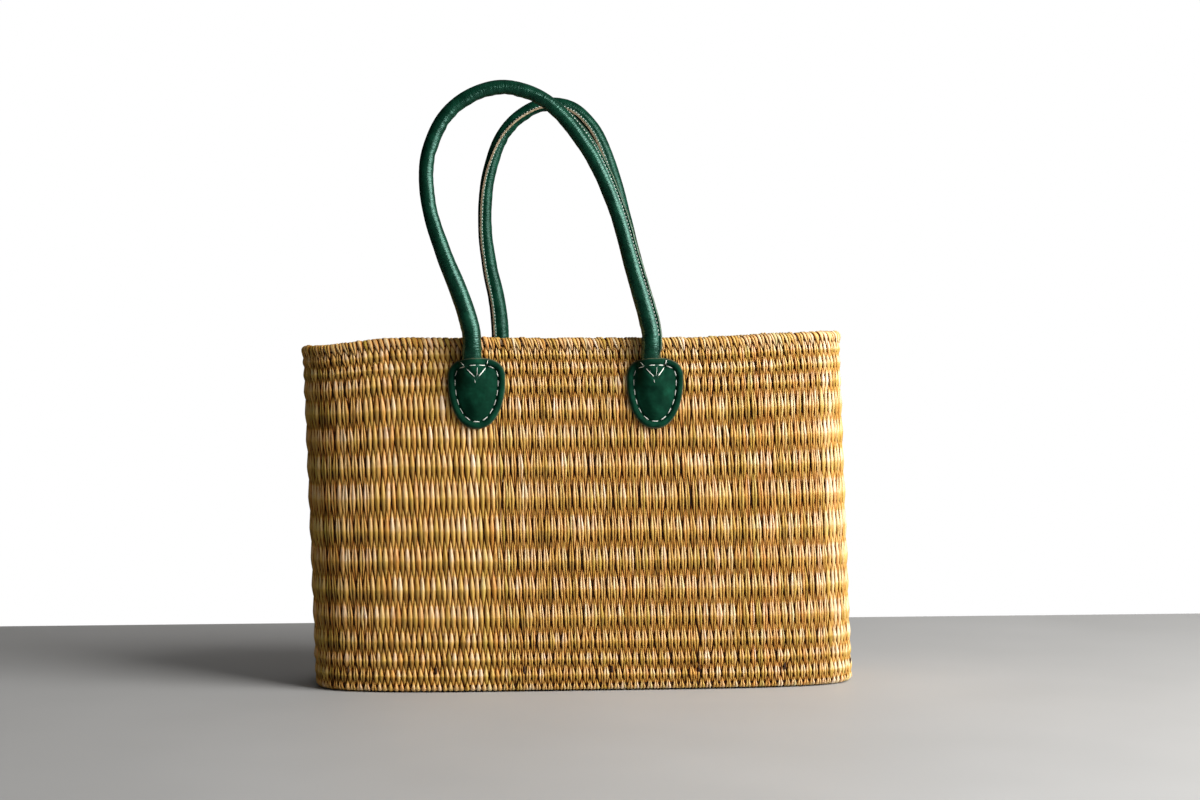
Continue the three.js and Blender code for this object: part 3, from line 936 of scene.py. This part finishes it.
def add_sleeve(place, shape, stations, leather):
    """The rolled leather with its fin. Returns what the stitches need to follow the fin."""
    line, along, outward, inward, wide, thick, way, seam = stations
    fin = np.array(fin_side) * [fin_half_width, fin_height]
    fin = np.concatenate([fin, fin[-2::-1] * [-1, 1]])
    half_angle = math.asin(fin_gap / loop_radius)
    places = (np.arange(tube_sides) + 0.5) / tube_sides
    tube_turn = half_angle + (2 * math.pi - 2 * half_angle) * places
    heading = np.arctan2(along[:, 2], along[:, 0])
    bend = np.abs(np.gradient(heading, way)) * np.where(np.gradient(heading) < 0, 1, -1)
    turn = seam[:, None] + tube_turn
    tucked = smoothstep(line[:, 2], tab_top - 2, tab_top + 6)[:, None]
    folds = crease_depth(way, turn, smoothed(bend, size_smoothing), shape["side"]) * tucked
    tube = round_line(line, outward, inward, wide[:, None] + folds, thick[:, None] + folds, turn)
    seam_way = outward * (wide * np.cos(seam))[:, None] + inward * (thick * np.sin(seam))[:, None]
    root = np.linalg.norm(seam_way, axis=1)
    seam_way = seam_way / root[:, None]
    beside = np.cross(along, seam_way)
    middle = len(line) // 2
    if np.sum(beside[middle] * (tube[middle, 0] - line[middle])) < 0:
        beside = -beside
    fading = smoothstep(line[:, 2], tab_top + 1, tab_top + 9)
    wobble = 1 + 0.06 * np.sin(way / 6.1) + 0.04 * np.sin(way / 2.3)
    height = np.sqrt(root ** 2 - fin_foot ** 2)[:, None] + fin[:, 1] * (fading * wobble)[:, None]
    up = np.clip(fin[:, 1] / fin_height, 0, 1)
    aside = fin[:, 0] + shape["fin_lean"] * fading[:, None] * up ** fin_bend
    ridge = line[:, None] + seam_way[:, None] * height[..., None] + beside[:, None] * aside[..., None]
    rings = np.concatenate([ridge, tube], axis=1)
    mesh = make_mesh(f"{place}_sleeve", rings, tube_faces(1, *rings.shape[:2]))
    if shape["side"] < 0:
        mesh.flip_normals()
    raw = np.zeros(rings.shape[:2])
    # How much of the tan raw-edge colour shows: the front handle's edge is kept dark green.
    raw[:, :len(fin)] = shape["raw_edge_tan"] * np.clip((fin[:, 1] / fin_height - raw_edge) / raw_fade, 0, 1)
    give_values(mesh, "raw", raw)
    spread = np.concatenate([fin[:, 0], tube_turn * loop_radius])
    lay = np.stack(np.broadcast_arrays(spread, shape["side"] * 50.0, way[:, None]), axis=-1)
    give_values(mesh, "lay", lay)
    piece = add_piece(f"{place}_sleeve", mesh, leather)
    bend_piece(piece)
    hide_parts(f"{place}_handle_sleeve", f"{place}_left_handle_end", f"{place}_right_handle_end")
    return line, way, root, seam_way, beside


def add_core(place, stations):
    """The rope inside the leather, with three laid strands."""
    line, _, outward, inward, wide, thick, way, _ = stations
    turn = full_turn(rope_sides)
    lay = 1 - rope_groove * np.abs(np.sin(1.5 * (turn + way[:, None] / rope_pitch)))
    across, deep = ((size - rope_inset)[:, None] * lay for size in (wide, thick))
    rings = round_line(line, outward, inward, across, deep, turn)[line[:, 2] > tab_top - foot_tuck / 2]
    mesh = make_mesh(f"{place}_core", rings, tube_faces(1, *rings.shape[:2]))
    piece = add_piece(f"{place}_core", mesh, hemp_rope)
    bend_piece(piece)
    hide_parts(f"{place}_handle_rope", f"{place}_left_rope_end", f"{place}_right_rope_end")


def thread_piece(name, path, radius):
    """Short stitches: threads along nine points each, with rounded ends."""
    size = np.array([0.35, 0.85, 1, 1, 1, 1, 1, 0.85, 0.35])
    sizes = size * np.broadcast_to(radius, len(path))[:, None]
    across = np.cross(np.gradient(path, axis=1), np.array([0.0, 1.0, 0.001]))
    points, _ = soft_tubes(path, across, sizes, sizes, 8)
    mesh = make_mesh(name, points, tube_faces(*points.shape[:3]))
    return add_piece(name, mesh, cream_thread)


def add_seam_threads(place, shape, line, way, root, seam_way, beside):
    """A row of small stitches on both faces of the fin."""
    share = np.linspace(-0.5, 0.5, 9)
    spots = np.arange(seam_ends, way[-1] - seam_ends, stitch_step)[:, None] + share * stitch_length
    spine, up, aside = (
        np.stack([np.interp(spots, way, values[:, k]) for k in range(3)], axis=-1)
        for values in (line, seam_way, beside))
    above = np.interp(spots, way, root)[..., None] + stitch_level * fin_height
    bow = (fin_half_width * 0.9 + 0.20 * np.cos(math.pi * share))[:, None]
    middle = spine + up * above + aside * shape["fin_lean"] * stitch_level ** fin_bend
    path = np.concatenate([middle + aside * bow, middle - aside * bow])
    bend_piece(thread_piece(f"{place}_seam_thread", path, stitch_radius))


def leather_finish(name, gloss, shine, creases):
    """Green goatskin: mottled dye, fine grain, small creases, worn tan at raw edges and a painted highlight
    at tab edges.

    Gloss makes it smoother and shine mirrors more. Only green light is mirrored well."""
    material, tree, shader = new_finish(name)
    place = add_node(tree, "TexCoord").outputs["Object"]
    mottle = add_noise(tree, place, 90.0, 5.0, 0.6)
    grain = add_node(tree, "TexVoronoi", {"Vector": place, "Scale": 1150.0}).outputs["Distance"]
    dye = add_ramp(tree, mottle, [
        (0.25, (0.001, 0.013, 0.007)), (0.5, (0.0025, 0.027, 0.014)), (0.78, (0.006, 0.057, 0.031)),
    ])
    speck = add_noise(tree, place, 420.0, 3.0)
    edge = add_ramp(tree, speck, [(0.3, (0.20, 0.14, 0.08)), (0.7, (0.54, 0.41, 0.27))])
    fold_place = stretched(tree, own_value(tree, "lay", "Vector"), (0.10, 0.10, 0.75))
    folds = add_noise(tree, fold_place, 1.0, 4.0, 0.6)
    grain_bump = add_bump(tree, grain, 0.1, 0.0002)
    feed(tree, shader, {
        "Base Color": add_mix(tree, own_value(tree, "raw"), dye, edge),
        "Normal": add_bump(tree, folds, creases, 0.0012, Normal=grain_bump),
        "Roughness": add_range(tree, mottle, 0.60 - 0.43 * gloss, 0.75 - 0.46 * gloss),
        "Specular IOR Level": shine,
        "Specular Tint": (0.5, 1.0, 0.82, 1),
    })
    return material


rolled_leather = {
    "front": leather_finish("glossy_green_leather", 1.0, 0.66, 0.45),
    "back": leather_finish("duller_green_leather", 1.0, 0.28, 0.45),
}
cream_thread = grain_finish("cream_thread", 1500.0, 2.0, (0.60, 0.60, 0.53), (0.90, 0.90, 0.83), 0.6)
hemp_rope = grain_finish(
    "hemp_rope", 700.0, 4.0, (0.30, 0.21, 0.11), (0.56, 0.44, 0.27), 0.9, (0.7, 0.0004))
for place, shape in handle_shapes.items():
    stations = handle_frame(shape)
    built = add_sleeve(place, shape, stations, rolled_leather[place])
    add_core(place, stations)
    add_seam_threads(place, shape, *built)

# Leather tabs
# Each handle end is covered by a padded egg-shaped tab of the same goatskin, whose rolled border is
# sewn down through a groove with long cream stitches. A V of two stitches pins the handle end.

tab_width, tab_height = 46, 57
tab_shift = 4
tab_shoulder = 17  # from the top down to the widest row
shoulder_power, point_power = 2.6, 2.15
tab_thickness = 2.4
edge_roll = 2.2
border_width, border_puff = 5.8, 1.3
groove_depth, groove_width = 1.3, 0.9
padding, padding_reach = 4.2, 11
arch_room, arch_cover = 2.6, 1.4  # the leather over a handle end: more at its sides, and on it
arch_soft = 6.0
pin_dent, pin_dent_width = 1.1, 2.0
hole_dent, hole_dent_width = 1.5, 1.7
tab_rings, tab_spots, edge_spots = 46, 168, 1440
tab_heart = 0.46  # how far down a tab its rings close, as a share of its height
edge_lip = 0.4
stitch_count = 17
stitch_lead, stitch_share = 0.12, 0.70
tab_thread_radius = 0.36
thread_sink = 0.3  # how much thinner the stitches on the left look, half sunk in their groove
pin_hole = np.array([-0.4, -16.0])
pin_stitches = [((-8.7, -8.4), (-1.5, -15.5)), ((7.3, -7.8), (1.0, -15.2)), ((0.2, -7.1), (-0.1, -14.8))]
short_stitches = [((-1.9, -17.4), (-1.3, -20.0)), ((8.1, -5.3), (8.8, -1.9)), ((-10.2, -6.3), (-13.0, -3.4))]
pin_thickness = [0.65, 1.15, 0.5, 0.5, 0.9, 0.55]


def tab_outline(count):
    """The egg-shaped edge of a tab: round shoulders over the widest row, a longer curve below."""
    turn = math.pi / 2 + full_turn(count)
    over = np.sin(turn) > 0
    power = np.where(over, shoulder_power, point_power)
    tall = np.where(over, tab_shoulder, tab_height - tab_shoulder)
    across, along = np.abs(np.cos(turn) / (tab_width / 2)), np.abs(np.sin(turn) / tall)
    reach = (across ** power + along ** power) ** (-1 / power)
    return np.stack([reach * np.cos(turn), reach * np.sin(turn) - tab_shoulder], axis=1)


def segment_distance(points, start, end):
    start, end = np.array(start, float), np.array(end, float)
    share = np.clip(np.sum((points - start) * (end - start), axis=-1) / np.sum((end - start) ** 2), 0, 1)
    return np.linalg.norm(points - start - share[..., None] * (end - start), axis=-1)


def tab_face(points, inset, leg_x):
    """Height of the tab's face over the wall at places on it, a distance in from its edge."""
    roll = np.sqrt(np.clip(1 - (1 - np.clip(inset / edge_roll, 0, 1)) ** 2, 0, 1))
    puff = border_puff * np.sin(math.pi * np.clip(inset / border_width, 0, 1)) ** 0.8
    dome = padding * smoothstep(inset, border_width + 0.2, border_width + padding_reach) ** 0.8
    groove = groove_depth * np.exp(-(((inset - border_width) / groove_width) ** 2))
    low = points[..., 1]
    deep = np.interp(low, foot_marks, foot_depths)
    reach = np.interp(low, foot_marks, foot_widths) + arch_room
    over = np.sqrt(np.clip(1 - ((points[..., 0] - leg_x) / reach) ** 2, 0, 1))
    over = over * smoothstep(low, -foot_tuck - 9, -foot_tuck + 2)
    arch = (2 * deep + arch_cover + roll + puff) * over
    base = tab_thickness * roll + puff * (0.5 + 0.5 * roll) + dome
    soft = arch_soft * roll
    face = (base + arch + np.sqrt((base - arch) ** 2 + soft)) / 2 - np.sqrt(soft) / 2
    for start, end in pin_stitches[:2]:
        near = segment_distance(points, start, end) / pin_dent_width
        face = face - pin_dent * np.exp(-(near ** 2))
    face = face - hole_dent * np.exp(-((np.linalg.norm(points - pin_hole, axis=-1) / hole_dent_width) ** 2))
    return face - groove


def stitch_ring(outline):
    """Starts and ends of the long stitches along the groove, from the top round to the left."""
    step = np.roll(outline, -1, axis=0) - np.roll(outline, 1, axis=0)
    ring = outline + unit(np.stack([-step[:, 1], step[:, 0]], axis=1)) * border_width
    ring = np.concatenate([ring, ring[:1]])
    way = way_along(ring)
    pitch = way[-1] / stitch_count
    starts = (np.arange(stitch_count) + stitch_lead) * pitch
    ends = np.stack([starts, starts + stitch_share * pitch], axis=1)
    return np.stack([np.interp(ends, way, ring[:, k]) for k in (0, 1)], axis=-1)


def add_tab(place, hand, shape):
    """One tab and its thread, drawn flat from the top of the tab and laid on the wall."""
    side = shape["side"]
    leg_x = shape["centre"] + (-0.5 if hand == "left" else 0.5) * shape["spacing"]
    tab_x = leg_x - side * tab_shift
    edge_line = tab_outline(edge_spots)

    def face_height(places):
        inset = np.linalg.norm(places[..., None, :] - edge_line, axis=-1).min(axis=-1)
        return tab_face(places, inset, (leg_x - tab_x) * -side)

    def to_bag(places, height):
        x, z = tab_x - side * places[..., 0], tab_top + places[..., 1]
        return np.stack([x, side * (seat_y + height), z], axis=-1)

    outline = tab_outline(tab_spots)
    middle = np.array([0.0, -tab_height * tab_heart])
    shares = 1 - (np.arange(tab_rings) / tab_rings) ** 1.15
    flat = middle + (outline - middle) * shares[:, None, None]
    face = face_height(flat)
    face[0] = edge_lip
    under = to_bag(outline * 0.995 + middle * 0.005, np.zeros(tab_spots))
    tips = to_bag(np.stack([middle, middle]), np.array([face[-1].mean(), 0.0]))
    points = np.concatenate([under, to_bag(flat, face).reshape(-1, 3), tips])
    walls = tube_faces(1, tab_rings + 1, tab_spots)[0]
    spots = np.arange(tab_spots)
    beside, inmost, top = (spots + 1) % tab_spots, tab_rings * tab_spots, len(points) - 2
    caps = np.stack([inmost + spots, inmost + beside, np.full(tab_spots, top)], axis=-1)
    backs = np.stack([beside, spots, np.full(tab_spots, top + 1)], axis=-1)
    mesh = make_mesh(f"{place}_{hand}_tab_leather", points, [walls, caps, backs])
    # The outer rings take some tan of the raw edge: the tab's cut edge, and a painted highlight along it.
    cut_edge_and_highlight = np.zeros(len(points))
    cut_edge_and_highlight[:3 * tab_spots], cut_edge_and_highlight[3 * tab_spots:4 * tab_spots] = 0.22, 0.08
    give_values(mesh, "raw", cut_edge_and_highlight)
    give_values(mesh, "lay", points * [0.8, 0.8, 0.35])
    piece = add_piece(mesh.name, mesh, flat_leather)
    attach(piece, "basket")
    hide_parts(f"{place}_{hand}_tab")
    rows = np.concatenate([stitch_ring(edge_line), pin_stitches, short_stitches])
    share = np.linspace(0, 1, 9)
    places = rows[:, :1] + (rows[:, 1:] - rows[:, :1]) * share[:, None]
    on_left = rows[:stitch_count, :, 0].mean(axis=1) * -side < -tab_width / 4
    radius = tab_thread_radius * np.concatenate([1 - thread_sink * on_left, pin_thickness])
    rise = 0.25 * np.sin(math.pi * share) - 0.6 * (np.abs(share - 0.5) > 0.49)
    height = face_height(places) + rise + np.minimum(radius, tab_thread_radius)[:, None] + 0.04
    path = to_bag(places, height)
    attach(thread_piece(f"{place}_{hand}_tab_thread", path, radius), "basket")


flat_leather = leather_finish("flat_green_leather", 0.0, 0.05, 0.2)
for place, shape in handle_shapes.items():
    for hand in ("left", "right"):
        add_tab(place, hand, shape)

# Stage
# A pale floor that ends a little behind the bag and a white surround. A large soft window lamp on the
# right has a weaker one above it, with weak fills on the left and behind. The camera stands left
# of the middle, level with the rim.

eye_distance, eye_height = 1900, 280
eye_turn = math.radians(-5)
aim_x = 5.5
pixels_wide, pixels_high = 1200, 800
pixel_scale = 1.25 * (eye_distance - bag_depth / 2)  # pixels for a unit of width one unit away
horizon_row, aim_column = 341, 584  # pixels from the top and the left of the photograph
floor_reach, floor_front, floor_back, floor_drop = 2500, 2600, 390, 0.3
lamps = {  # size, watts, place and aim in metres, and whether the leather mirrors it
    "window": ((1.4, 1.0), 55, (1.4, -0.95, 0.75), (0, 0, 0.25), True),
    "sky": ((0.9, 0.7), 22, (0.85, -0.8, 1.8), (0, 0, 0.15), False),
    "fill": ((1.6, 1.2), 1.5, (-1.9, -1.6, 0.9), (0, 0, 0.2), False),
    "back": ((1.8, 1.0), 12, (0.3, 2.2, 0.9), (0, 0, 0.15), False),
}


def add_camera():
    data = bpy.data.cameras.new("camera")
    camera = add_object("camera", data)
    data.sensor_width = 36
    data.lens = pixel_scale / pixels_wide * data.sensor_width
    data.shift_x = (pixels_wide / 2 - aim_column) / pixels_wide
    data.shift_y = -(pixels_high / 2 - horizon_row) / pixels_wide
    camera.location = (
        (aim_x + eye_distance * math.sin(eye_turn)) * MM,
        -eye_distance * math.cos(eye_turn) * MM,
        eye_height * MM,
    )
    camera.rotation_euler = (math.pi / 2, 0, eye_turn)
    data.clip_start, data.clip_end = 0.05, 50
    bpy.context.scene.camera = camera


def add_floor():
    """A plain pale floor, which glossy leather mirrors only faintly."""
    material, tree, shader = new_finish("pale_floor")
    cloud = add_noise(tree, add_node(tree, "TexCoord").outputs["Object"], 5.0)
    colour = add_ramp(tree, cloud, [(0.2, (0.36, 0.355, 0.345)), (0.8, (0.40, 0.395, 0.385))])
    mirrored = add_node(tree, "LightPath").outputs["Is Glossy Ray"]
    feed(tree, shader, {
        "Base Color": add_mix(tree, mirrored, colour, (0.08, 0.08, 0.08, 1)),
        "Roughness": 0.6,
    })
    corners = np.array([
        [-floor_reach, -floor_front, -floor_drop], [floor_reach, -floor_front, -floor_drop],
        [floor_reach, floor_back, -floor_drop], [-floor_reach, floor_back, -floor_drop],
    ])
    mesh = make_mesh("floor", corners, [np.array([[0, 1, 2, 3]])])
    mesh.materials.append(material)
    add_object("floor", mesh)


def add_lamp(name, size, power, place, aim, mirrored):
    data = bpy.data.lights.new(name, "AREA")
    data.shape = "RECTANGLE"
    data.size, data.size_y = size
    data.energy = power
    lamp = add_object(name, data)
    lamp.visible_glossy = mirrored
    lamp.location = place
    lamp.rotation_mode = "QUATERNION"
    lamp.rotation_quaternion = (Vector(aim) - Vector(place)).to_track_quat("-Z", "Y")


def add_surround():
    """White to the eye, and a faint light on the object, stronger from the right."""
    world = bpy.data.worlds.new("surround")
    bpy.context.scene.world = world
    world.use_nodes = True
    tree = world.node_tree
    back = next(n for n in tree.nodes if n.type == "BACKGROUND")
    way = add_node(tree, "TexCoord").outputs["Generated"]
    parts = add_node(tree, "SeparateXYZ", {"Vector": way})
    glow = add_range(tree, parts.outputs["X"], 0.02, 0.42, -0.6, 1.0)
    path = add_node(tree, "LightPath").outputs
    dim = add_range(tree, path["Is Glossy Ray"], 1.0, 0.3)
    lit = add_math(tree, "MULTIPLY", glow, dim)
    seen = add_math(tree, "MAXIMUM", path["Is Camera Ray"], path["Is Transmission Ray"])
    feed(tree, back, {"Strength": add_math(tree, "MAXIMUM", seen, lit), "Color": (1, 1, 1, 1)})


add_camera()
add_floor()
for name, settings in lamps.items():
    add_lamp(name, *settings)
add_surround()
bpy.context.scene.view_settings.view_transform = "Standard"
